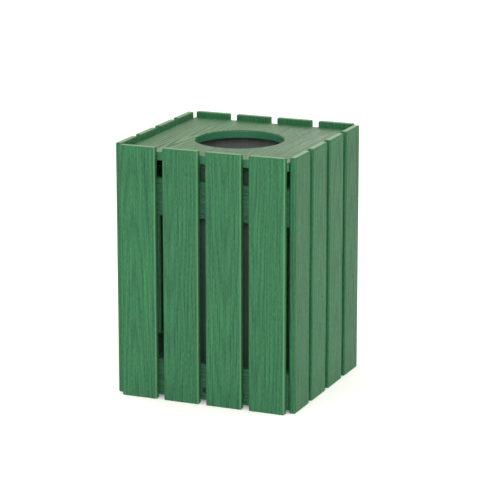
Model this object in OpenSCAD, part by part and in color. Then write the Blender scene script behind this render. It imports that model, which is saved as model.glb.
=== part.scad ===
// Square slatted litter bin in recycled plastic lumber, with a drop-in lid that
// has a round throat and a round liner that lifts out through the top.
// Millimetres, +Z up. The origin is on the ground under the centre of the bin,
// and the front faces -Y.

/* [Boards] */
// Width of the boards that make the slats and the rails
board_w = 140; // [115:1:170]
// Thickness of the slats and the rails
board_t = 25; // [20:1:32]
// Radius of the long edges of every board
edge_r = 6; // [2:0.5:9]

/* [Slats] */
// Height of the slats, and so of the whole bin
bin_h = 950; // [780:5:1150]
// Gap between neighbouring slats on one side
slat_gap = 29; // [15:1:45]
// Gap left at a corner between a side's last slat and the slats of the next side
corner_gap = 6; // [2:1:15]

/* [Rails and posts] */
// Height of the lower rails above the ground
low_rail_z = 12; // [6:1:30]
// Distance from the tops of the slats down to the upper rails
rail_drop = 115; // [95:1:140]
// Side of the square posts in the four corners
post_w = 38; // [30:1:48]

/* [Lid] */
// Distance from the tops of the slats down to the top of the lid
lid_recess = 21; // [5:1:40]
// Thickness of the lid sheet
lid_t = 32; // [20:1:40]
// Diameter of the throat that litter is dropped through
throat_d = 330; // [220:2:400]
// Gap between the lid and the slats around it
lid_clear = 3; // [1.5:0.5:6]
// Radius that eases the edges of the lid and of its throat
lid_edge_r = 3; // [1:0.5:5]

/* [Floor] */
// Height of the floor boards' underside above the lower rails' underside
floor_lift = 21; // [10:1:40]
// Thickness of the floor boards
floor_t = 32; // [24:1:40]
// Drainage gap between neighbouring floor boards
floor_gap = 6; // [3:1:15]

/* [Liner] */
// Gap between the liner's rim and the rails around it
liner_clear = 20; // [12:1:40]
// How much smaller the liner's radius is at its base than under its rim
liner_taper = 50; // [20:2:70]
// Wall thickness of the liner
liner_wall = 4; // [2.5:0.5:6]
// Gap between the top of the liner's rim and the lid
liner_headroom = 15; // [10:1:60]
// Diameter of the bead rolled along the liner's rim
rim_bead_d = 14; // [8:1:18]
// Radius of the bend between the liner's wall and its base
base_bend_r = 20; // [12:1:30]
// How far the middle of the liner's base stands up from the floor
base_kick = 8; // [4:1:15]
// Width of the ring that the liner stands on
foot_ring_w = 26; // [15:1:40]

/* [Fasteners] */
// Shank diameter of the wood screws in the slats and the posts
screw_d = 5; // [4:0.5:6]
// Head diameter of those wood screws
screw_head_d = 11; // [9:0.5:13]
// Height of the slat screws' pan heads
screw_head_h = 3.5; // [2.5:0.5:5]
// How deep a slat screw bites into its slat
slat_bite = 17; // [12:1:18]
// Distance from a slat screw to the edge of its rail, or to the floor boards
slat_screw_edge = 16; // [12:1:22]
// How deep a post screw bites into its post
post_bite = 27; // [18:1:28]
// Distance from a front or back rail's post screws to the edges of the rail
post_screw_edge = 24; // [14:1:26]
// How much further in a side rail's post screws are, to pass the others
post_screw_step = 20; // [12:1:22]
// Shank diameter of the lag screws that carry the floor boards
lag_d = 8; // [6:0.5:9]
// Head diameter of the lag screws
lag_head_d = 13; // [11:0.5:15]
// Height of the lag screws' heads
lag_head_h = 5; // [4:0.5:6]
// How deep a lag screw bites into the end of a floor board
lag_bite = 60; // [40:2:80]
// Diameter of the washers under the lag screws' heads
washer_d = 18; // [16:0.5:22]
// Thickness of those washers
washer_t = 2; // [1.5:0.5:3]

/* [Hidden] */
$fn = 64;

// Sides in the order that a quarter turn visits them, from the front
SIDES = ["front", "right", "back", "left"];
CORNERS = ["front_right", "back_right", "back_left", "front_left"];
LEVELS = ["lower", "upper"];
FLOOR_PLACES = ["left", "middle", "right"];
slats_per_side = 4;

lumber_colour = "#447C57";
lid_colour = "#6E9276";
liner_colour = "#3A3A3C";
steel_colour = "#A9ABA8";

// Widths across the bin, each measured from the centre
slat_pitch = board_w + slat_gap;
face_w = slats_per_side * board_w + (slats_per_side - 1) * slat_gap;
rail_out = face_w / 2 + corner_gap;
rail_in = rail_out - board_t;
post_in = rail_in - post_w;
post_mid = rail_in - post_w / 2;

// Heights
high_rail_z = bin_h - rail_drop - board_w;
rail_z = [low_rail_z, high_rail_z];
lid_z = bin_h - lid_recess - lid_t;
floor_z = low_rail_z + floor_lift;
floor_top = floor_z + floor_t;
liner_top = lid_z - liner_headroom;
liner_h = liner_top - floor_top;

// Room left round a shank, where it passes freely and where it bites
shank_clear = 0.25;
bite_clear = 0.05;
// Solid board left between an end slat's screws and the corner post beside them
end_screw_gap = 20;
// Room round a lag washer, and how far its head lies below the rail's face
washer_clear = 1;
lag_sunk = 1;
lag_seat = lag_sunk + lag_head_h + washer_t;
// Drives: square sockets in the wood screws, a hexagon in the lag screws
square_drive = 3.4;
square_drive_depth = 2;
hex_drive = 6;
hex_drive_depth = 3;
// Length of the wood screws' points
point_h = 5;
// Cuts run this far past the faces that they open
past = 1;

floor_pitch = board_w + floor_gap;
floor_len = 2 * rail_in;
// The liner's rim stands inside the rails, and its wall inside the bead
rim_bead_r = rim_bead_d / 2;
liner_top_r = rail_in - liner_clear - rim_bead_d + liner_wall;
liner_base_r = liner_top_r - liner_taper;
// Outer and inner edges of the flat ring that the liner stands on
foot_out = liner_base_r - base_bend_r;
foot_in = foot_out - foot_ring_w;

// Place of slat n along its side, counted from the left as seen from outside
function slat_x(n) = (n - (slats_per_side + 1) / 2) * slat_pitch;
// Screws stand in the middle of a slat, but an end slat's keep clear of the post
function slat_screw_x(n) =
    n == 1 ? -(post_in - end_screw_gap) :
    n == slats_per_side ? post_in - end_screw_gap : slat_x(n);
// Heights of the slat screws: the lower rails' stay above the floor boards' ends
function slat_screw_z(level) =
    [(level == 0 ? floor_top : rail_z[level]) + slat_screw_edge,
     rail_z[level] + board_w - slat_screw_edge];
// Front and back rails are long, and the side rails fit between them
function is_long(side) = side % 2 == 0;
// Half the length of a rail: the side rails stop at the long rails' inner faces
function rail_half(side) = is_long(side) ? rail_out : rail_in;
function post_screw_z(level, side) =
    let (in = post_screw_edge + (is_long(side) ? 0 : post_screw_step))
    [rail_z[level] + in, rail_z[level] + board_w - in];

// Turns a piece drawn at the front round to the given side
module on_side(side) rotate([0, 0, 90 * side]) children();

module rounded_rect(w, t, r) {
    square([w - 2 * r, t], center = true);
    square([w, t - 2 * r], center = true);
    for (x = [-1, 1], y = [-1, 1])
        translate([x * (w / 2 - r), y * (t / 2 - r)]) circle(r);
}

// A board standing on end, its broad faces towards -Y and +Y
module standing_board(length, t = board_t)
    linear_extrude(length) rounded_rect(board_w, t, edge_r);

// A board lying along X, its broad faces towards -Y and +Y, centred
module lying_board(length)
    rotate([0, 90, 0]) translate([0, 0, -length / 2]) standing_board(length);

// Points +Z of its child towards -Y or +Y
module facing_out() rotate([90, 0, 0]) children();
module facing_in() rotate([-90, 0, 0]) children();

// Where the slat screws of one side stand, at the front rail's inner face
module at_slat_screws(n)
    for (level = [0, 1], z = slat_screw_z(level))
        translate([slat_screw_x(n), -rail_in, z]) facing_out() children();

// Where the post screws of one side stand, at the front rail's outer face
module at_post_screws(side, levels = [0, 1], ends = [-1, 1])
    for (level = levels, end = ends, z = post_screw_z(level, side))
        translate([end * post_mid, -rail_out, z]) facing_in() children();

// Where the lag screws of the front or back stand, at the rail's outer face
module at_lag_screws()
    for (n = [-1, 0, 1])
        translate([n * floor_pitch, -rail_out, floor_z + floor_t / 2])
            facing_in() children();

module slat(side, n)
    color(lumber_colour) on_side(side) difference() {
        translate([slat_x(n), -rail_out - board_t / 2, 0]) standing_board(bin_h);
        at_slat_screws(n)
            cylinder(d = screw_d + 2 * bite_clear, h = board_t + slat_bite + past);
    }

module rail(level, side)
    color(lumber_colour) on_side(side) difference() {
        translate([0, -rail_out + board_t / 2, rail_z[level] + board_w / 2])
            lying_board(2 * rail_half(side));
        for (n = [1:slats_per_side]) at_slat_screws(n)
            translate([0, 0, -past])
                cylinder(d = screw_d + 2 * shank_clear, h = board_t + 2 * past);
        at_post_screws(side, levels = [level]) {
            translate([0, 0, -past])
                cylinder(d = screw_d + 2 * shank_clear, h = board_t + 2 * past);
            countersink(shank_clear);
        }
        if (level == 0 && is_long(side)) at_lag_screws() {
            translate([0, 0, -past])
                cylinder(d = lag_d + 2 * shank_clear, h = board_t + 2 * past);
            translate([0, 0, -past])
                cylinder(d = washer_d + 2 * washer_clear, h = lag_seat + past);
        }
    }

// The cone under a flat head, widened all round by the given room
module countersink(room) {
    head_r = screw_head_d / 2 + room;
    shank_r = screw_d / 2;
    cylinder(r1 = head_r, r2 = shank_r, h = head_r - shank_r);
    translate([0, 0, -past]) cylinder(r = head_r, h = past);
}

// A post stands in the corner that follows the given side
module post(corner)
    color(lumber_colour) difference() {
        on_side(corner) translate([post_mid, -post_mid, low_rail_z])
            linear_extrude(lid_z - low_rail_z) square(post_w, center = true);
        on_side(corner) at_post_screws(corner, ends = [1]) post_pilot();
        on_side(corner + 1) at_post_screws(corner + 1, ends = [-1]) post_pilot();
    }

module post_pilot()
    cylinder(d = screw_d + 2 * bite_clear, h = board_t + post_bite + past);

module floor_board(place)
    color(lumber_colour) difference() {
        translate([place * floor_pitch, -floor_len / 2, floor_z + floor_t / 2])
            rotate([-90, 0, 0]) standing_board(floor_len, floor_t);
        for (side = [0, 2]) on_side(side) at_lag_screws()
            cylinder(d = lag_d + 2 * bite_clear, h = board_t + lag_bite + past);
    }

module lid_panel() {
    lid_w = 2 * (rail_out - lid_clear);
    color(lid_colour) translate([0, 0, lid_z + lid_t / 2]) difference() {
        intersection() {
            rotate([90, 0, 0]) linear_extrude(lid_w, center = true)
                rounded_rect(lid_w, lid_t, lid_edge_r);
            rotate([90, 0, 90]) linear_extrude(lid_w, center = true)
                rounded_rect(lid_w, lid_t, lid_edge_r);
        }
        cylinder(d = throat_d, h = lid_t + 2 * past, center = true);
        for (flip = [0, 1]) mirror([0, 0, flip]) throat_easing();
    }
}

// Rounds the throat's upper edge over
module throat_easing()
    rotate_extrude() translate([throat_d / 2, lid_t / 2 - lid_edge_r]) difference() {
        translate([-past, 0]) square([lid_edge_r + past, lid_edge_r + past]);
        translate([lid_edge_r, 0]) circle(lid_edge_r);
    }

module liner()
    color(liner_colour) translate([0, 0, floor_top]) rotate_extrude($fn = 96)
        polygon(concat(liner_outside(), liner_inside(), liner_bead()));

// Points along an arc from one angle to another, in steps of 15 degrees
function arc(centre, r, from, to) =
    [for (a = [from : 15 * sign(to - from) : to]) centre + r * [cos(a), sin(a)]];

// The liner's profile, from under its rim down the outside to the foot and in
function liner_outside() = concat(
    [[liner_top_r, liner_h - rim_bead_d]],
    arc([foot_out, base_bend_r], base_bend_r, 0, -90),
    [[foot_in, 0], [foot_in - base_kick, base_kick], [0, base_kick]]);

// And from the middle back up the inside to the rim
function liner_inside() = concat(
    [[0, base_kick + liner_wall],
     [foot_in - base_kick + liner_wall, base_kick + liner_wall],
     [foot_in + liner_wall, liner_wall]],
    arc([foot_out, base_bend_r], base_bend_r - liner_wall, -90, 0));

// And over the bead, which is rolled outwards
function liner_bead() =
    arc([liner_top_r - liner_wall + rim_bead_r, liner_h - rim_bead_r], rim_bead_r, 180, -90);

module slat_screws(side)
    color(steel_colour) on_side(side)
        for (n = [1:slats_per_side]) at_slat_screws(n) pan_screw(board_t + slat_bite);

module post_screws(side)
    color(steel_colour) on_side(side)
        at_post_screws(side) flat_screw(board_t + post_bite);

// A screw whose head stands on the face that its shank goes down through
module pan_screw(length)
    difference() {
        union() {
            translate([0, 0, -screw_head_h]) cylinder(d = screw_head_d, h = screw_head_h);
            shank(length);
        }
        translate([0, 0, -screw_head_h]) square_socket();
    }

// A screw whose head lies flush with the face that its shank goes down through
module flat_screw(length)
    difference() {
        union() {
            cylinder(r1 = screw_head_d / 2, r2 = screw_d / 2, h = (screw_head_d - screw_d) / 2);
            shank(length);
        }
        square_socket();
    }

// A shank whose last stretch tapers to a blunt point
module shank(length) {
    cylinder(d = screw_d, h = length - point_h);
    translate([0, 0, length - point_h]) cylinder(d1 = screw_d, d2 = screw_d / 3, h = point_h);
}

module square_socket()
    translate([0, 0, -past]) linear_extrude(square_drive_depth + past)
        square(square_drive, center = true);

module lag_screws(side)
    color(steel_colour) on_side(side) at_lag_screws() translate([0, 0, lag_sunk]) {
        difference() {
            cylinder(d = lag_head_d, h = lag_head_h);
            translate([0, 0, -past])
                cylinder(d = hex_drive / cos(30), h = hex_drive_depth + past, $fn = 6);
        }
        translate([0, 0, lag_head_h])
            cylinder(d = lag_d, h = board_t + lag_bite - lag_sunk - lag_head_h);
    }

module lag_washers(side)
    color(steel_colour) on_side(side) at_lag_screws()
        translate([0, 0, lag_sunk + lag_head_h]) difference() {
            cylinder(d = washer_d, h = washer_t);
            translate([0, 0, -past])
                cylinder(d = lag_d + 2 * shank_clear, h = washer_t + 2 * past);
        }

for (side = [0:3], n = [1:slats_per_side])
    slat(side, n);
for (level = [0, 1], side = [0:3])
    rail(level, side);
for (corner = [0:3])
    post(corner);
for (place = [0:2])
    floor_board(place - 1);
for (side = [0:3])
    slat_screws(side);
for (side = [0:3])
    post_screws(side);
lid_panel();
liner();
lag_screws(0);  // front_lag_screws
lag_screws(2);  // back_lag_screws
lag_washers(0);  // front_lag_washers
lag_washers(2);  // back_lag_washers
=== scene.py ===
"""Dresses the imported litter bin: new slats, lid and liner round the CAD frame,
procedural finishes for what the CAD model keeps, and a plain studio."""

import math
import random

import bpy
from bpy.props import (
    FloatProperty,
    FloatVectorProperty,
    IntProperty,
    PointerProperty,
    StringProperty,
)
from mathutils import Matrix, Vector


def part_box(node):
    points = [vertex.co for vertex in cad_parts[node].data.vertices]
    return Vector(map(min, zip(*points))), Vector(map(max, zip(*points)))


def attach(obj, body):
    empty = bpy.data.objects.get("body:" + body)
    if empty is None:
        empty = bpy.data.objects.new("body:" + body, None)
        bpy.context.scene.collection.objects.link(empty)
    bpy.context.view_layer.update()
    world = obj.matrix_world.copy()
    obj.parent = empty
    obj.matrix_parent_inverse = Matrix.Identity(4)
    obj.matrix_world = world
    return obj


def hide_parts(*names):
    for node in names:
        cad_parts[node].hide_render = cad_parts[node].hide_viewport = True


bl_info = {
    "name": "Slatted Litter Bin",
    "version": (1, 0, 0),
    "blender": (4, 5, 0),
    "location": "View3D > Sidebar > Litter Bin",
    "description": "Models and finishes a slatted litter bin round its packed frame",
    "category": "Object",
}

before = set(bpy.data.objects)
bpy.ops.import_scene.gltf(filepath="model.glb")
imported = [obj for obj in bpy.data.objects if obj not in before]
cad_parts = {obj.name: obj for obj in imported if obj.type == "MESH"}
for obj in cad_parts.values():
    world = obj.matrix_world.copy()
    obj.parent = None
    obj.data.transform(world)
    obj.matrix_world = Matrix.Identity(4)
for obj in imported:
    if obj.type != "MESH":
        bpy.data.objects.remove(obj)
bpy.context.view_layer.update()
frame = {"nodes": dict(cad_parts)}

# Names of the frame's nodes, side by side as seen from outside
SIDES = ("front", "right", "back", "left")
LEVELS = ("lower", "upper")
CORNERS = ("front_right", "back_right", "back_left", "front_left")
FLOOR_PLACES = ("left", "middle", "right")
SLATS = [f"{side}_slat_{n}" for side in SIDES for n in (1, 2, 3, 4)]
BRIGHT_SCREWS = [f"{side}_{kind}_screws" for side in SIDES for kind in ("slat", "post")]
# Lag screws and washers, coloured dark as painted shade for their shaded counterbores
SHADE_DARK_STEEL = [f"{side}_lag_{kind}" for side in ("front", "back") for kind in ("screws", "washers")]


# ---------------------------------------------------------------- sizes and colours


class BinSizes(bpy.types.PropertyGroup):
    """Edges of the slats and the lid, whose other sizes come from the frame."""

    edge_radius: FloatProperty(
        name="Edge radius", description="Radius of the long edges of a slat",
        default=0.006, unit="LENGTH")
    end_ease: FloatProperty(
        name="End ease", description="Bevel left on the sawn ends of a slat",
        default=0.0008, unit="LENGTH")
    lid_ease: FloatProperty(
        name="Lid ease", description="Radius of the edges of the lid and of its throat",
        default=0.005, unit="LENGTH")
    seed: IntProperty(
        name="Seed", description="Picks the tint of each slat and its stretch of grain",
        default=7)


class LinerSizes(bpy.types.PropertyGroup):
    """Shape of the liner, whose height, rim and place come from the frame."""

    wall: FloatProperty(
        name="Wall", description="Thickness of the wall and the base",
        default=0.004, unit="LENGTH")
    bead: FloatProperty(
        name="Bead", description="Radius of the rolled bead along the rim",
        default=0.007, unit="LENGTH")
    taper: FloatProperty(
        name="Taper", description="How much smaller the wall's radius is at its foot",
        default=0.05, unit="LENGTH")
    bend: FloatProperty(
        name="Bend", description="Outer radius of the turn from the wall into the base",
        default=0.02, unit="LENGTH")
    kick: FloatProperty(
        name="Kick", description="Height of the base above the ring that the liner stands on",
        default=0.008, unit="LENGTH")
    hoop_depth: FloatProperty(
        name="Hoop depth", description="How far a stiffening hoop stands out of the wall",
        default=0.003, unit="LENGTH")
    hoop_half: FloatProperty(
        name="Hoop half", description="Half the height of a hoop's flat face",
        default=0.008, unit="LENGTH")
    hoop_slope: FloatProperty(
        name="Hoop slope", description="Height of the slope above and below a hoop's face",
        default=0.004, unit="LENGTH")


class BinColours(bpy.types.PropertyGroup):
    """Colours of the finishes, as sRGB hex values."""

    lumber: StringProperty(name="Lumber", description="Slats", default="#18623D")
    frame: StringProperty(
        name="Frame", description="Rails, posts and floor boards", default="#135033")
    # Sawn ends: partly their own paler tone, partly painted sheen of light on the slat tops
    sawn: StringProperty(name="Sawn ends", description="Sawn ends of the slats", default="#648E66")
    lid: StringProperty(name="Lid", description="Lid sheet", default="#166033")
    routed: StringProperty(
        name="Routed edge", description="Lid's throat and edges", default="#276A49")
    liner: StringProperty(name="Liner", description="Outside of the liner", default="#445F50")
    # Painted light: the liner's inside is paler and greyer than its outside, for the light that
    # falls in through the throat; its stronger scuffs are wear
    liner_inside: StringProperty(
        name="Liner inside", description="Inside of the liner, where litter scuffs it",
        default="#6F736F")
    steel: StringProperty(name="Steel", description="Bright stainless screws", default="#B9BAB6")
    # Painted shade: lag screws and washers are dark for the shaded counterbores they sit in
    shade_dark_steel: StringProperty(
        name="Black steel", description="Blackened lag screws and washers", default="#3C423F")
    floor: StringProperty(name="Floor", description="Studio floor", default="#FDFDFD")


class BinStudio(bpy.types.PropertyGroup):
    """Camera and lights."""

    camera_place: FloatVectorProperty(
        name="Camera place", description="Where the camera stands",
        default=(3.459, -8.137, 2.754), subtype="TRANSLATION", unit="LENGTH")
    camera_turn: FloatProperty(
        name="Camera turn", description="How far the camera is turned to the left of +Y",
        default=0.3976, unit="ROTATION")
    camera_tilt: FloatProperty(
        name="Camera tilt", description="How far the camera looks down",
        default=0.2491, unit="ROTATION")
    lens: FloatProperty(
        name="Lens", description="Focal length on a 36 mm wide sensor",
        default=175.2, unit="CAMERA")
    overhead: FloatProperty(
        name="Overhead", description="Strength of the white surround straight above",
        default=1.14)
    horizon: FloatProperty(
        name="Horizon", description="Strength of the white surround at the horizon",
        default=1.12)
    surround: StringProperty(
        name="Surround", description="Colour of the surround, as an sRGB hex value",
        default="#FFFCF4")
    key_place: FloatVectorProperty(
        name="Key place", description="Where the large lamp beside the camera hangs",
        default=(2.0, -5.65, 2.9), subtype="TRANSLATION", unit="LENGTH")
    key_power: FloatProperty(
        name="Key power", description="Power of the large lamp beside the camera",
        default=120.0, unit="POWER")
    sheen_place: FloatVectorProperty(
        name="Sheen place", description="Where the small lamp behind the bin hangs",
        default=(-0.13, 1.7, 1.45), subtype="TRANSLATION", unit="LENGTH")
    sheen_power: FloatProperty(
        name="Sheen power", description="Power of the small lamp that glances off the lid",
        default=1.5, unit="POWER")


# ---------------------------------------------------------------- small tools

# Places of a Mix node's sockets when it mixes numbers, and when it mixes colours
MIX_BY, MIX_LOW, MIX_HIGH, MIXED_NUMBER = 0, 2, 3, 0
MIX_A, MIX_B, MIXED = 6, 7, 2
# Faces of a board or sheet that meet at less than this angle are shaded smooth
BOARD_SMOOTH = math.radians(40)


def linear(hex_colour):
    """Linear RGBA of an sRGB hex colour."""
    parts = [int(hex_colour[i:i + 2], 16) / 255 for i in (1, 3, 5)]
    return [c / 12.92 if c <= 0.04045 else ((c + 0.055) / 1.055) ** 2.4 for c in parts] + [1.0]


def shade(colour, factor):
    """The same linear colour, lighter or darker."""
    return [min(1.0, c * factor) for c in colour[:3]] + [1.0]


def add(tree, kind, inputs=None, **settings):
    """Adds a node with its settings, and sets or links its inputs."""
    node = tree.nodes.new(kind)
    for name, value in settings.items():
        setattr(node, name, value)
    for socket, value in (inputs or {}).items():
        if isinstance(value, bpy.types.NodeSocket):
            tree.links.new(value, node.inputs[socket])
        else:
            node.inputs[socket].default_value = value
    return node


def new_material(name):
    """An empty node material with a Principled shader, as (material, tree, shader)."""
    material = bpy.data.materials.new(name)
    material.use_nodes = True
    tree = material.node_tree
    tree.nodes.clear()
    shader = add(tree, "ShaderNodeBsdfPrincipled")
    add(tree, "ShaderNodeOutputMaterial", {"Surface": shader.outputs["BSDF"]})
    return material, tree, shader


def deselect_all():
    """Leaves edit mode and deselects every object."""
    if bpy.context.object and bpy.context.object.mode != "OBJECT":
        bpy.ops.object.mode_set(mode="OBJECT")
    bpy.ops.object.select_all(action="DESELECT")


def only(piece):
    """Makes a piece the one selected and active object."""
    deselect_all()
    piece.select_set(True)
    bpy.context.view_layer.objects.active = piece


def pick_edges(piece, test):
    """Selects in edit mode only the edges whose two ends pass the test."""
    bpy.ops.object.mode_set(mode="OBJECT")
    mesh = piece.data
    for items in (mesh.vertices, mesh.edges, mesh.polygons):
        items.foreach_set("select", [False] * len(items))
    for edge in mesh.edges:
        a, b = (mesh.vertices[i].co for i in edge.vertices)
        edge.select = test(a, b)
    bpy.ops.object.mode_set(mode="EDIT")
    bpy.ops.mesh.select_mode(type="EDGE")


def two_finishes(piece, first, second, test):
    """Gives a piece two finishes, the second on the faces that pass the test."""
    piece.data.materials.clear()
    piece.data.materials.append(FINISHES[first])
    piece.data.materials.append(FINISHES[second])
    for face in piece.data.polygons:
        face.material_index = 1 if test(face) else 0


def shade_crisply(piece):
    """Shades the eased edges of a board or sheet smooth and its faces flat, and
    applies every modifier."""
    only(piece)
    bpy.ops.object.shade_smooth_by_angle(angle=BOARD_SMOOTH)
    piece.modifiers.new("crisp", "WEIGHTED_NORMAL").keep_sharp = True
    for modifier in list(piece.modifiers):
        bpy.ops.object.modifier_apply(modifier=modifier.name)


def settle(piece):
    """Puts a piece's place into its mesh, with its object at the origin."""
    only(piece)
    bpy.ops.object.transform_apply(location=True, rotation=True, scale=True)


def stand_for(piece, body, node):
    """The piece rides on a body and replaces a CAD node, which is hidden."""
    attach(piece, body)
    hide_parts(node)


# ---------------------------------------------------------------- finishes

# Widths and lengths of the embossed grain, in metres. Its finest lines are under a
# millimetre wide on real boards and are drawn 3 to 5 mm wide, so that they show.
STREAK = 0.005
STREAK_LENGTH = 0.4
FIBRE = 0.0033
FIBRE_LENGTH = 1 / 65
# Fibres show half as strongly as streaks, and the two together span this range
FIBRE_SHARE = 0.5
FINE_SPAN = (0.52, 0.98)
# The grain wanders up to 15 mm to either side, in bends some 170 mm wide and 670 mm long
WANDER = 0.03
BENDS = (6.0, 1.5, 6.0)
# Growth rings, which are longer along the board than they are wide
RING_STEP = 0.013
RING_STRETCH = 16.0
# How far the streaks push the rings out of true, in radians
RING_BREAK = 7.0
# A ring's wave runs from -1 to 1, and is cut off flat above the second of these
RING_SLOPE = (-1.0, 0.1)
# Distances from their middle at which the rings begin to fade, and are gone
RING_FADE = (0.03, 0.24)

# How unevenly the pigment is mixed, lighter and darker, in patches some 200 mm long
UNEVEN = 0.12
PATCHES = 5.0
PATCH_SHARE = 0.5
# How much of its red, green and blue the plastic keeps down in the grain and on the
# ridges: darker and bluer, and paler and yellower
GROOVE = (0.02, 0.44, 0.545)
RIDGE = (2.68, 1.595, 1.455)
# Painted highlight on the rounded edge that faces the light: this much lighter, with
# this much added to its red, green and blue
HIGHLIGHT_LIGHTER = 1.7
HIGHLIGHT_ADDED = (0.05, 0.02, 0.02)
# Roughness is higher down in the grain and lower on its ridges, by so much
GROOVE_ROUGHER = 0.12
RIDGE_SMOOTHER = 0.06
# Depth of the emboss, in metres, deeper than on real boards so that it shows, and how
# strongly it turns the light
EMBOSS = 0.0014
EMBOSS_STRENGTH = 0.8
# A weathered face reflects a little less than the plastic's own index, 1.54, gives
LUMBER_IOR = 1.46
# Weathering chalks the surface, which shows as a faint warm bloom at a low angle
CHALK = 0.03
CHALK_ROUGHNESS = 0.5
CHALK_TINT = "#FFEBC0"

# Saw marks some 8 mm apart and pores some 2 mm apart, as the scales of their textures
SAW_MARKS = 52.0
PORES = 450.0
PORE_SHARE = 0.7
# A sawn face is darker in the marks and paler between them, and they are this deep
SAWN_SHADES = (0.82, 1.12)
SAWN_DEPTH = 0.0004
# Rubs down the liner's wall are some 15 mm across and 150 mm long, begin and are full at
# these values of their noise, and leave it from the smoother to the rougher of the next two
LINER_RUBS = (65, 65, 7)
RUB_SPAN = (0.4, 0.8)
LINER_ROUGHNESS = (0.65, 0.85)
# Moulded pebble of some 3 mm on the liner, and turning marks of half a millimetre on the
# screws, as the scales of their textures
PEBBLE = 330.0
PEBBLE_DEPTH = 0.0003
TURNING = 2000.0


def grain(tree, place, rings):
    """Height, from 0 to 1, of the embossed wood grain. X of place runs across the
    board and Y along it, in metres, and the rings are centred on its origin. rings
    is how much of the height the rings make up there, and the rest is streaks."""
    slow = add(tree, "ShaderNodeVectorMath", {0: place, 1: BENDS}, operation="MULTIPLY")
    wander = add(tree, "ShaderNodeTexNoise",
                 {"Vector": slow.outputs[0], "Scale": 1.0, "Detail": 3.0})
    swing = add(tree, "ShaderNodeMath", {0: wander.outputs["Fac"], 1: -0.5}, operation="ADD")
    apart = add(tree, "ShaderNodeSeparateXYZ", {"Vector": place})
    across = add(tree, "ShaderNodeMath",
                 {0: swing.outputs[0], 1: WANDER, 2: apart.outputs["X"]},
                 operation="MULTIPLY_ADD")
    bent = add(tree, "ShaderNodeCombineXYZ",
               {"X": across.outputs[0], "Y": apart.outputs["Y"], "Z": apart.outputs["Z"]})

    streak_place = add(tree, "ShaderNodeVectorMath",
                       {0: bent.outputs[0], 1: (1 / STREAK, 1 / STREAK_LENGTH, 1 / STREAK)},
                       operation="MULTIPLY")
    streaks = add(tree, "ShaderNodeTexNoise",
                  {"Vector": streak_place.outputs[0], "Scale": 1.0, "Detail": 3.0,
                   "Roughness": 0.65})
    fibre_place = add(tree, "ShaderNodeVectorMath",
                      {0: bent.outputs[0], 1: (1 / FIBRE, 1 / FIBRE_LENGTH, 1 / FIBRE)},
                      operation="MULTIPLY")
    fibres = add(tree, "ShaderNodeTexNoise",
                 {"Vector": fibre_place.outputs[0], "Scale": 1.0, "Detail": 1.0})
    mixed = add(tree, "ShaderNodeMath",
                {0: fibres.outputs["Fac"], 1: FIBRE_SHARE, 2: streaks.outputs["Fac"]},
                operation="MULTIPLY_ADD")
    fine = add(tree, "ShaderNodeMapRange",
               {"Value": mixed.outputs[0], "From Min": FINE_SPAN[0], "From Max": FINE_SPAN[1]},
               clamp=True)

    # The rings are long ovals round the origin, pushed out of true by the streaks
    along = add(tree, "ShaderNodeMath", {0: apart.outputs["Y"], 1: 1 / RING_STRETCH},
                operation="MULTIPLY")
    flat = add(tree, "ShaderNodeCombineXYZ", {"X": across.outputs[0], "Y": along.outputs[0]})
    radius = add(tree, "ShaderNodeVectorMath", {0: flat.outputs[0]}, operation="LENGTH")
    push = add(tree, "ShaderNodeMath", {0: streaks.outputs["Fac"], 1: RING_BREAK},
               operation="MULTIPLY")
    turns = add(tree, "ShaderNodeMath",
                {0: radius.outputs["Value"], 1: math.tau / RING_STEP, 2: push.outputs[0]},
                operation="MULTIPLY_ADD")
    wave = add(tree, "ShaderNodeMath", {0: turns.outputs[0]}, operation="SINE")
    ring = add(tree, "ShaderNodeMapRange",
               {"Value": wave.outputs[0], "From Min": RING_SLOPE[0], "From Max": RING_SLOPE[1]},
               clamp=True)
    # They fade into straight grain to either side
    aside = add(tree, "ShaderNodeMath", {0: across.outputs[0]}, operation="ABSOLUTE")
    share = add(tree, "ShaderNodeMapRange",
                {"Value": aside.outputs[0], "From Min": RING_FADE[0], "From Max": RING_FADE[1],
                 "To Min": rings, "To Max": 0.0},
                clamp=True)
    return add(tree, "ShaderNodeMix",
               {MIX_BY: share.outputs[0], MIX_LOW: fine.outputs[0], MIX_HIGH: ring.outputs[0]},
               data_type="FLOAT").outputs[MIXED_NUMBER]


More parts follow.
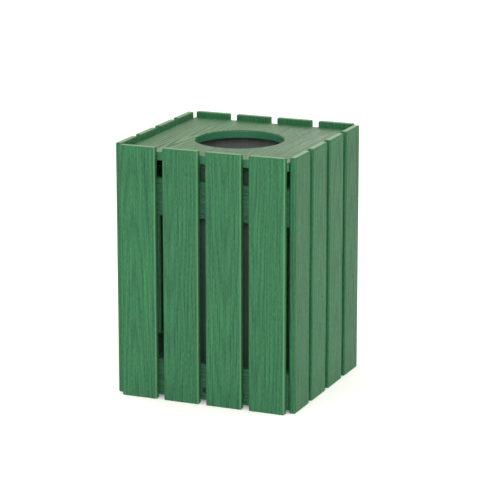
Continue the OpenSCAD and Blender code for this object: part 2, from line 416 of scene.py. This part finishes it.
def plastic_lumber(name, hex_colour, order, centre=(0.0, 0.0, 0.0), rings=0.2, roughness=0.64):
    """Recycled high-density polyethylene lumber, extruded and embossed with wood
    grain: a satin face, darker down in the grain and paler on its ridges. order
    says which Object axes run across, along and through the board, and "UV" reads
    the board's own map instead. centre is the middle of the rings."""
    material, tree, shader = new_material(name)
    coords = add(tree, "ShaderNodeTexCoord")
    if order == "UV":
        place = add(tree, "ShaderNodeUVMap", uv_map="grain").outputs["UV"]
    else:
        axes = add(tree, "ShaderNodeSeparateXYZ", {"Vector": coords.outputs["Object"]})
        turned = add(tree, "ShaderNodeCombineXYZ",
                     {to: axes.outputs[axis] for to, axis in zip("XYZ", order)})
        place = add(tree, "ShaderNodeVectorMath",
                    {0: turned.outputs[0], 1: centre}, operation="SUBTRACT").outputs[0]
    height = grain(tree, place, rings)

    # Pigment is never mixed quite evenly, and each slat is a little lighter or darker
    # than the next
    patches = add(tree, "ShaderNodeTexNoise",
                  {"Vector": coords.outputs["Object"], "Scale": PATCHES, "Detail": 3.0})
    tint = add(tree, "ShaderNodeAttribute", attribute_name="tint")
    uneven = add(tree, "ShaderNodeMath",
                 {0: patches.outputs["Fac"], 1: PATCH_SHARE, 2: tint.outputs["Fac"]},
                 operation="MULTIPLY_ADD")
    base = linear(hex_colour)
    pigment = add(tree, "ShaderNodeMix",
                  {MIX_BY: uneven.outputs[0], MIX_A: shade(base, 1 - UNEVEN),
                   MIX_B: shade(base, 1 + UNEVEN)},
                  data_type="RGBA")
    figure = add(tree, "ShaderNodeMix",
                 {MIX_BY: height, MIX_A: [*GROOVE, 1.0], MIX_B: [*RIDGE, 1.0]},
                 data_type="RGBA")
    colour = add(tree, "ShaderNodeVectorMath",
                 {0: pigment.outputs[MIXED], 1: figure.outputs[MIXED]}, operation="MULTIPLY")
    # Painted highlight: the rounded edge facing the lamp beside the camera is painted paler
    edge_highlight = add(tree, "ShaderNodeAttribute", attribute_name="edge_highlight")
    pale = [c + more for c, more in zip(shade(base, HIGHLIGHT_LIGHTER), HIGHLIGHT_ADDED)] + [1.0]
    scuffs_and_highlight = add(tree, "ShaderNodeMix",
                 {MIX_BY: edge_highlight.outputs["Fac"], MIX_A: colour.outputs[0], MIX_B: pale},
                 data_type="RGBA")
    rough = add(tree, "ShaderNodeMapRange",
                {"Value": height, "To Min": roughness + GROOVE_ROUGHER,
                 "To Max": roughness - RIDGE_SMOOTHER})
    bump = add(tree, "ShaderNodeBump",
               {"Height": height, "Strength": EMBOSS_STRENGTH, "Distance": EMBOSS})
    tree.links.new(scuffs_and_highlight.outputs[MIXED], shader.inputs["Base Color"])
    tree.links.new(rough.outputs[0], shader.inputs["Roughness"])
    tree.links.new(bump.outputs[0], shader.inputs["Normal"])
    shader.inputs["IOR"].default_value = LUMBER_IOR
    shader.inputs["Sheen Weight"].default_value = CHALK
    shader.inputs["Sheen Roughness"].default_value = CHALK_ROUGHNESS
    shader.inputs["Sheen Tint"].default_value = linear(CHALK_TINT)
    return material


def sawn_plastic(name, hex_colour):
    """The sawn or routed edge of a plastic board: duller than the embossed face, with
    saw arcs and the fine pores of its core."""
    material, tree, shader = new_material(name)
    coords = add(tree, "ShaderNodeTexCoord")
    pores = add(tree, "ShaderNodeTexVoronoi",
                {"Vector": coords.outputs["Object"], "Scale": PORES})
    marks = add(tree, "ShaderNodeTexWave",
                {"Vector": coords.outputs["Object"], "Scale": SAW_MARKS, "Distortion": 1.5,
                 "Detail": 1.0},
                bands_direction="DIAGONAL")
    height = add(tree, "ShaderNodeMath",
                 {0: pores.outputs["Distance"], 1: PORE_SHARE, 2: marks.outputs["Fac"]},
                 operation="MULTIPLY_ADD")
    base = linear(hex_colour)
    colour = add(tree, "ShaderNodeMix",
                 {MIX_BY: height.outputs[0], MIX_A: shade(base, SAWN_SHADES[0]),
                  MIX_B: shade(base, SAWN_SHADES[1])},
                 data_type="RGBA")
    bump = add(tree, "ShaderNodeBump",
               {"Height": height.outputs[0], "Strength": 0.5, "Distance": SAWN_DEPTH})
    tree.links.new(colour.outputs[MIXED], shader.inputs["Base Color"])
    tree.links.new(bump.outputs[0], shader.inputs["Normal"])
    shader.inputs["Roughness"].default_value = 0.5
    shader.inputs["IOR"].default_value = 1.52
    return material


def liner_plastic(name, hex_colour, wear):
    """Moulded polyethylene liner: dark and matt, scuffed paler where litter and hands
    have worn it. wear is how much paler the rubs are."""
    material, tree, shader = new_material(name)
    coords = add(tree, "ShaderNodeTexCoord")
    rub_place = add(tree, "ShaderNodeVectorMath",
                    {0: coords.outputs["Object"], 1: LINER_RUBS}, operation="MULTIPLY")
    rubs = add(tree, "ShaderNodeTexNoise",
               {"Vector": rub_place.outputs[0], "Scale": 1.0, "Detail": 4.0})
    scuffs_and_highlight = add(tree, "ShaderNodeMapRange",
                 {"Value": rubs.outputs["Fac"], "From Min": RUB_SPAN[0], "From Max": RUB_SPAN[1]})
    pebble = add(tree, "ShaderNodeTexNoise", {"Vector": coords.outputs["Object"], "Scale": PEBBLE})
    base = linear(hex_colour)
    colour = add(tree, "ShaderNodeMix",
                 {MIX_BY: scuffs_and_highlight.outputs[0], MIX_A: base, MIX_B: shade(base, 1 + wear)},
                 data_type="RGBA")
    rough = add(tree, "ShaderNodeMapRange",
                {"Value": rubs.outputs["Fac"], "To Min": LINER_ROUGHNESS[0],
                 "To Max": LINER_ROUGHNESS[1]})
    bump = add(tree, "ShaderNodeBump",
               {"Height": pebble.outputs["Fac"], "Strength": 0.4, "Distance": PEBBLE_DEPTH})
    tree.links.new(colour.outputs[MIXED], shader.inputs["Base Color"])
    tree.links.new(rough.outputs[0], shader.inputs["Roughness"])
    tree.links.new(bump.outputs[0], shader.inputs["Normal"])
    shader.inputs["IOR"].default_value = 1.51
    return material


def stainless_steel(name, hex_colour, low, high):
    """Cold-headed stainless steel with fine turning marks: bright, or dark and duller,
    the dark being painted shade for the shaded counterbores that the lag screws sit
    in. low and high bound its roughness."""
    material, tree, shader = new_material(name)
    coords = add(tree, "ShaderNodeTexCoord")
    marks = add(tree, "ShaderNodeTexNoise", {"Vector": coords.outputs["Object"], "Scale": TURNING})
    rough = add(tree, "ShaderNodeMapRange",
                {"Value": marks.outputs["Fac"], "To Min": low, "To Max": high})
    tree.links.new(rough.outputs[0], shader.inputs["Roughness"])
    shader.inputs["Base Color"].default_value = linear(hex_colour)
    shader.inputs["Metallic"].default_value = 1.0
    return material


def studio_floor(name, hex_colour):
    """Matt white studio floor with a little light of its own, so that shadows on it
    stay pale."""
    material, _, shader = new_material(name)
    shader.inputs["Base Color"].default_value = linear(hex_colour)
    shader.inputs["Roughness"].default_value = 0.9
    shader.inputs["Specular IOR Level"].default_value = 0.1
    shader.inputs["Emission Color"].default_value = linear(hex_colour)
    shader.inputs["Emission Strength"].default_value = 0.2
    return material


FINISHES = {}


def make_finishes(colours):
    """Makes each finish once, by the name that the pieces ask for."""
    FINISHES["slat"] = plastic_lumber("recycled_plastic_lumber_slat", colours.lumber, "UV")
    FINISHES["long_rail"] = plastic_lumber(
        "recycled_plastic_lumber_long_rail", colours.frame, "ZXY", (0.08, 0.3, 0.0))
    FINISHES["side_rail"] = plastic_lumber(
        "recycled_plastic_lumber_side_rail", colours.frame, "ZYX", (0.08, -0.2, 0.0))
    FINISHES["post"] = plastic_lumber("recycled_plastic_lumber_post", colours.frame, "XZY")
    FINISHES["floor_board"] = plastic_lumber(
        "recycled_plastic_lumber_floor", colours.frame, "XYZ")
    # The lid's rings are strong, and centred near its back left corner
    FINISHES["lid"] = plastic_lumber(
        "recycled_plastic_lid_sheet", colours.lid, "XYZ", (-0.185, 0.25, 0.0), rings=0.8,
        roughness=0.42)
    # Sawn ends: partly their own paler tone, partly painted sheen of light on the slat tops
    FINISHES["sawn"] = sawn_plastic("sawn_plastic_lumber_end", colours.sawn)
    FINISHES["routed"] = sawn_plastic("routed_plastic_sheet_edge", colours.routed)
    FINISHES["liner"] = liner_plastic("moulded_polyethylene_liner", colours.liner, wear=0.2)
    # Painted light: the liner's inside is paler and greyer than its outside, for the light that
    # falls in through the throat; its stronger scuffs are wear
    FINISHES["liner_inside"] = liner_plastic(
        "painted_light_and_scuffed_liner_inside", colours.liner_inside, wear=0.4)
    FINISHES["steel"] = stainless_steel(
        "stainless_steel_screw", colours.steel, low=0.25, high=0.42)
    # Painted shade: lag screws and washers are dark for the shaded counterbores they sit in
    FINISHES["shade_dark_steel"] = stainless_steel(
        "shade_dark_steel_lag_screw", colours.shade_dark_steel, low=0.4, high=0.6)
    FINISHES["stage"] = studio_floor("matt_white_studio_floor", colours.floor)


def finish_nodes(nodes, finish):
    """Gives CAD nodes that keep their own shapes one of the finishes."""
    for node in nodes:
        for slot in frame["nodes"][node].material_slots:
            slot.material = FINISHES[finish]


# ---------------------------------------------------------------- slats

EDGE_STEPS = 6
END_STEPS = 2
# A slat's sawn ends are the faces whose normals rise or fall by more than this
END_NORMAL = 0.9
# A corner of the mould this near its foot or its top, in metres, lies on that end
ON_END = 1e-5
# How much of the painted highlight a rounded edge takes, at most all of it
EDGE_HIGHLIGHT = 1.6
# Where the rings' middle lies: this far to either side of a slat's centre line, and at
# one of these heights, some of them off the slat
RINGS_ASIDE = 0.05
RINGS_UP = (-0.6, -0.2, 0.35, 0.8, 1.3)
# The slats' pigments run from the darker to the lighter of these
TINTS = (-0.25, 0.35)


def slat_mould(sizes, width, depth, height):
    """One slat standing on the origin, its outside towards -Y."""
    deselect_all()
    bpy.ops.mesh.primitive_cube_add(
        size=1, location=(0, 0, height / 2), scale=(width, depth, height))
    piece = bpy.context.object
    settle(piece)
    # The long edges are eased in the extrusion die
    pick_edges(piece, lambda a, b: abs(a.z - b.z) > height / 2)
    bpy.ops.mesh.bevel(
        offset=sizes.edge_radius, segments=EDGE_STEPS, profile=0.5, affect="EDGES")
    # The saw leaves the ends square, with a hair's breadth of ease
    pick_edges(piece, lambda a, b: a.z == b.z and min(a.z, height - a.z) < ON_END)
    bpy.ops.mesh.bevel(offset=sizes.end_ease, segments=END_STEPS, affect="EDGES")
    bpy.ops.object.mode_set(mode="OBJECT")
    return piece


def map_grain(piece, depth):
    """Lays the map that the grain reads: once round the slat, and up it."""
    mesh = piece.data
    layer = mesh.uv_layers.new(name="grain")
    for loop in mesh.loops:
        place = mesh.vertices[loop.vertex_index].co
        round_edge = math.copysign(place.y + depth / 2, place.x)
        layer.data[loop.index].uv = (place.x + round_edge, place.z)


def mark_edges(piece):
    """Marks the rounded edge on the right of the outside for a painted highlight, most
    where it faces the corner and the lamp beside the camera."""
    layer = piece.data.attributes.new("edge_highlight", "FLOAT", "FACE")
    for face in piece.data.polygons:
        corner = max(0.0, min(face.normal.x, -face.normal.y))
        layer.data[face.index].value = min(1.0, EDGE_HIGHLIGHT * corner)


def copy_slat(mould, name, turn, place, shift, tint):
    """A copy of the slat with its own mesh, stretch of grain and tint."""
    piece = mould.copy()
    piece.data = mould.data.copy()
    piece.name = piece.data.name = name
    bpy.context.collection.objects.link(piece)
    for item in piece.data.uv_layers["grain"].data:
        item.uv = (item.uv[0] - shift[0], item.uv[1] - shift[1])
    layer = piece.data.attributes.new("tint", "FLOAT", "POINT")
    layer.data.foreach_set("value", [tint] * len(piece.data.vertices))
    piece.data.transform(Matrix.Translation(place) @ Matrix.Rotation(turn, 4, "Z"))
    return piece


class BIN_OT_slats(bpy.types.Operator):
    """Models one slat and stands a copy of it in each of the sixteen places"""

    bl_idname = "litter_bin.slats"
    bl_label = "Slats"

    def execute(self, context):
        sizes = context.scene.bin_sizes
        low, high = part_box("front_slat_1")
        width, depth, height = high - low
        mould = slat_mould(sizes, width, depth, height)
        map_grain(mould, depth)
        mark_edges(mould)
        two_finishes(mould, "slat", "sawn", lambda face: abs(face.normal.z) > END_NORMAL)
        shade_crisply(mould)
        dice = random.Random(sizes.seed)
        for node in SLATS:
            side = SIDES.index(node.split("_")[0])
            low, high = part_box(node)
            middle = (low + high) / 2
            shift = (dice.uniform(-RINGS_ASIDE, RINGS_ASIDE), dice.choice(RINGS_UP))
            piece = copy_slat(mould, node.replace("slat_", "slat_board_"), side * math.pi / 2,
                              (middle.x, middle.y, low.z), shift, dice.uniform(*TINTS))
            stand_for(piece, "frame", node)
        bpy.data.objects.remove(mould)
        return {"FINISHED"}


# ---------------------------------------------------------------- what the frame keeps


class BIN_OT_carcass(bpy.types.Operator):
    """Finishes the rails, posts and floor boards, which keep their CAD shapes"""

    bl_idname = "litter_bin.carcass"
    bl_label = "Rails, posts and floor"

    def execute(self, context):
        for level in LEVELS:
            finish_nodes([f"{level}_{side}_rail" for side in ("front", "back")], "long_rail")
            finish_nodes([f"{level}_{side}_rail" for side in ("right", "left")], "side_rail")
        finish_nodes([f"{corner}_post" for corner in CORNERS], "post")
        finish_nodes([f"{place}_floor_board" for place in FLOOR_PLACES], "floor_board")
        return {"FINISHED"}


class BIN_OT_fasteners(bpy.types.Operator):
    """Finishes the screws and washers, which keep their CAD shapes"""

    bl_idname = "litter_bin.fasteners"
    bl_label = "Fasteners"

    def execute(self, context):
        finish_nodes(BRIGHT_SCREWS, "steel")
        finish_nodes(SHADE_DARK_STEEL, "shade_dark_steel")
        return {"FINISHED"}


# ---------------------------------------------------------------- lid

THROAT_SIDES = 128
# The throat's cutter is this many times as tall as the sheet is thick
CUTTER_REACH = 4
LID_EDGE_STEPS = 4
# Only edges sharper than this are eased
LID_EDGE_ANGLE = math.radians(50)
# The lid's routed edges are the faces whose normals rise or fall by less than this
EDGE_NORMAL = 0.3


def throat_radius():
    """Radius of the lid's throat, measured on the CAD lid."""
    lid = frame["nodes"]["lid_panel"]
    return min(math.hypot(v.co.x, v.co.y) for v in lid.data.vertices)


class BIN_OT_lid(bpy.types.Operator):
    """Models the lid sheet with its round throat"""

    bl_idname = "litter_bin.lid"
    bl_label = "Lid"

    def execute(self, context):
        low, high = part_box("lid_panel")
        deselect_all()
        bpy.ops.mesh.primitive_cube_add(size=1, location=(low + high) / 2, scale=high - low)
        lid = bpy.context.object
        lid.name = lid.data.name = "lid_sheet"
        settle(lid)
        bpy.ops.mesh.primitive_cylinder_add(
            vertices=THROAT_SIDES, radius=throat_radius(),
            depth=CUTTER_REACH * (high.z - low.z), location=(low + high) / 2)
        cutter = bpy.context.object
        cut = lid.modifiers.new("throat", "BOOLEAN")
        cut.operation, cut.object, cut.solver = "DIFFERENCE", cutter, "EXACT"
        ease = lid.modifiers.new("eased edges", "BEVEL")
        ease.width, ease.segments = context.scene.bin_sizes.lid_ease, LID_EDGE_STEPS
        ease.limit_method, ease.angle_limit = "ANGLE", LID_EDGE_ANGLE
        shade_crisply(lid)
        bpy.data.objects.remove(cutter)
        two_finishes(lid, "lid", "routed", lambda face: abs(face.normal.z) < EDGE_NORMAL)
        stand_for(lid, "lid", "lid_panel")
        return {"FINISHED"}


# ---------------------------------------------------------------- liner

LINER_SIDES = 96
LINER_SMOOTH = math.radians(50)
# Radius of the flat middle of the base, which one face closes above and one below
BASE_MIDDLE = 0.05
# How far inside the wall's foot the standing ring ends, and the raised base begins
STANDING_RING = 0.047
RAISED_BASE = 0.055
# How far up the wall the two hoops stand, as shares of its height
HOOPS = (0.62, 0.84)
# Corners of the skin nearer than this, in metres, are merged
MERGE = 1e-6
QUARTER_TURN = [math.radians(15 * step) for step in range(7)]
BEAD_TURN = [math.radians(angle) for angle in range(-90, 181, 30)]


def liner_rings(liner):
    """Radius and height of each ring of the liner's skin: from the middle of its base
    out and up the wall, over the rolled bead and down the inside, one wall in."""
    low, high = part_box("liner")
    foot, wall, bead, bend = low.z, liner.wall, liner.bead, liner.bend
    wall_top = high.x - 2 * bead + wall
    wall_foot = wall_top - liner.taper
    rings = [(BASE_MIDDLE, foot + liner.kick), (wall_foot - RAISED_BASE, foot + liner.kick),
             (wall_foot - STANDING_RING, foot)]
    rings += [(wall_foot - bend + bend * math.sin(a), foot + bend - bend * math.cos(a))
              for a in QUARTER_TURN]
    span = high.z - 2 * bead - foot - bend
    for share in HOOPS:
        z = foot + bend + share * span
        r = wall_foot + share * (wall_top - wall_foot)
        face, edge = liner.hoop_half, liner.hoop_half + liner.hoop_slope
        rings += [(r, z - edge), (r + liner.hoop_depth, z - face),
                  (r + liner.hoop_depth, z + face), (r, z + edge)]
    rings += [(wall_top, high.z - 2 * bead)]
    bead_r, bead_z = wall_top - wall + bead, high.z - bead
    rings += [(bead_r + bead * math.cos(a), bead_z + bead * math.sin(a)) for a in BEAD_TURN]
    inner_foot, inner_bend = wall_foot - wall, bend - wall
    rings += [(inner_foot - inner_bend + inner_bend * math.cos(a),
               foot + bend - inner_bend * math.sin(a)) for a in QUARTER_TURN]
    rings += [(wall_foot - STANDING_RING + wall, foot + wall),
              (wall_foot - RAISED_BASE + wall, foot + liner.kick + wall),
              (BASE_MIDDLE, foot + liner.kick + wall)]
    return rings


class BIN_OT_liner(bpy.types.Operator):
    """Draws the liner's skin out ring by ring from its base, up, over and down inside"""

    bl_idname = "litter_bin.liner"
    bl_label = "Liner"

    def execute(self, context):
        sizes = context.scene.bin_liner
        rings = liner_rings(sizes)
        deselect_all()
        bpy.ops.mesh.primitive_circle_add(
            vertices=LINER_SIDES, radius=rings[0][0], location=(0, 0, rings[0][1]),
            fill_type="NGON")
        liner = bpy.context.object
        liner.name = liner.data.name = "liner_shell"
        settle(liner)
        bpy.ops.object.mode_set(mode="EDIT")
        bpy.ops.mesh.select_mode(type="EDGE")
        bpy.ops.mesh.select_all(action="SELECT")
        for (r0, z0), (r1, z1) in zip(rings, rings[1:]):
            bpy.ops.mesh.extrude_region_move(TRANSFORM_OT_translate={"value": (0, 0, z1 - z0)})
            bpy.ops.transform.resize(value=(r1 / r0, r1 / r0, 1), center_override=(0, 0, z1))
        bpy.ops.mesh.edge_face_add()
        bpy.ops.mesh.select_all(action="SELECT")
        bpy.ops.mesh.remove_doubles(threshold=MERGE)
        bpy.ops.mesh.normals_make_consistent(inside=False)
        bpy.ops.object.mode_set(mode="OBJECT")
        bpy.ops.object.shade_smooth_by_angle(angle=LINER_SMOOTH)
        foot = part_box("liner")[0].z

        # Inside faces above the base take the paler finish: painted light, and scuffs
        def scuffed(face):
            middle, normal = face.center, face.normal
            inwards = middle.x * normal.x + middle.y * normal.y < 0
            return inwards and middle.z > foot + sizes.wall

        two_finishes(liner, "liner", "liner_inside", scuffed)
        stand_for(liner, "liner", "liner")
        return {"FINISHED"}


# ---------------------------------------------------------------- studio

FLOOR_SIZE = 60
KEY_SIZE = (1.6, 1.6)
KEY_TARGET = (0, 0, 0.5)
SHEEN_SIZE = (0.8, 0.5)
SHEEN_TARGET = (0.25, 0, 0.93)
CAMERA_REACH = 100


def hang_lamp(name, place, target, power, size):
    """Hangs a rectangular lamp that faces the target."""
    bpy.ops.object.light_add(type="AREA", location=place)
    lamp = bpy.context.object
    lamp.name = name
    lamp.data.shape = "RECTANGLE"
    lamp.data.energy = power
    lamp.data.size, lamp.data.size_y = size
    lamp.rotation_euler = (Vector(target) - lamp.location).to_track_quat("-Z", "Y").to_euler()
    return lamp


class BIN_OT_stage(bpy.types.Operator):
    """Lays the floor and sets the surround, the lamps and the camera"""

    bl_idname = "litter_bin.stage"
    bl_label = "Stage"

    def execute(self, context):
        scene = context.scene
        studio = scene.bin_studio
        deselect_all()
        bpy.ops.mesh.primitive_plane_add(size=FLOOR_SIZE, location=(0, 0, 0))
        floor = bpy.context.object
        floor.name = "studio_floor"
        floor.data.materials.append(FINISHES["stage"])

        # A faintly warm white surround, a little brighter overhead than at the horizon
        world = bpy.data.worlds.new("white surround")
        world.use_nodes = True
        tree = world.node_tree
        sky = tree.nodes["Background"]
        sky.inputs["Color"].default_value = linear(studio.surround)
        direction = add(tree, "ShaderNodeTexCoord")
        up = add(tree, "ShaderNodeSeparateXYZ", {"Vector": direction.outputs["Generated"]})
        fade = add(tree, "ShaderNodeMapRange",
                   {"Value": up.outputs["Z"], "To Min": studio.horizon,
                    "To Max": studio.overhead})
        tree.links.new(fade.outputs[0], sky.inputs["Strength"])
        scene.world = world

        hang_lamp("key_lamp", studio.key_place, KEY_TARGET, studio.key_power, KEY_SIZE)
        sheen = hang_lamp(
            "sheen_lamp", studio.sheen_place, SHEEN_TARGET, studio.sheen_power, SHEEN_SIZE)
        sheen.visible_camera = False

        bpy.ops.object.camera_add(location=studio.camera_place)
        camera = bpy.context.object
        camera.rotation_euler = (math.pi / 2 - studio.camera_tilt, 0, studio.camera_turn)
        camera.data.lens = studio.lens
        camera.data.clip_end = CAMERA_REACH
        scene.camera = camera
        scene.view_settings.view_transform = "Standard"
        return {"FINISHED"}


# ---------------------------------------------------------------- add-on


class BIN_PT_panel(bpy.types.Panel):
    """Lists the bin's sizes, colours and operators"""

    bl_label = "Litter Bin"
    bl_idname = "BIN_PT_panel"
    bl_space_type = "VIEW_3D"
    bl_region_type = "UI"
    bl_category = "Litter Bin"

    def draw(self, context):
        for name in GROUPS:
            box = self.layout.box()
            group = getattr(context.scene, name)
            for item in group.__annotations__:
                box.prop(group, item)
        for operator in OPERATORS:
            self.layout.operator(operator.bl_idname)


GROUPS = {"bin_sizes": BinSizes, "bin_liner": LinerSizes, "bin_colours": BinColours,
          "bin_studio": BinStudio}
OPERATORS = (BIN_OT_slats, BIN_OT_carcass, BIN_OT_lid, BIN_OT_liner, BIN_OT_fasteners,
             BIN_OT_stage)


def register():
    """Registers the settings, the operators and the panel."""
    for group in GROUPS.values():
        bpy.utils.register_class(group)
    for name, group in GROUPS.items():
        setattr(bpy.types.Scene, name, PointerProperty(type=group))
    for operator in OPERATORS:
        bpy.utils.register_class(operator)
    bpy.utils.register_class(BIN_PT_panel)


def unregister():
    """Takes out what register put in."""
    bpy.utils.unregister_class(BIN_PT_panel)
    for operator in reversed(OPERATORS):
        bpy.utils.unregister_class(operator)
    for name in GROUPS:
        delattr(bpy.types.Scene, name)
    for group in GROUPS.values():
        bpy.utils.unregister_class(group)


def main():
    """Makes every piece and finish."""
    register()
    make_finishes(bpy.context.scene.bin_colours)
    bpy.ops.litter_bin.stage()
    bpy.ops.litter_bin.slats()
    bpy.ops.litter_bin.carcass()
    bpy.ops.litter_bin.lid()
    bpy.ops.litter_bin.liner()
    bpy.ops.litter_bin.fasteners()


if __name__ == "__main__":
    main()
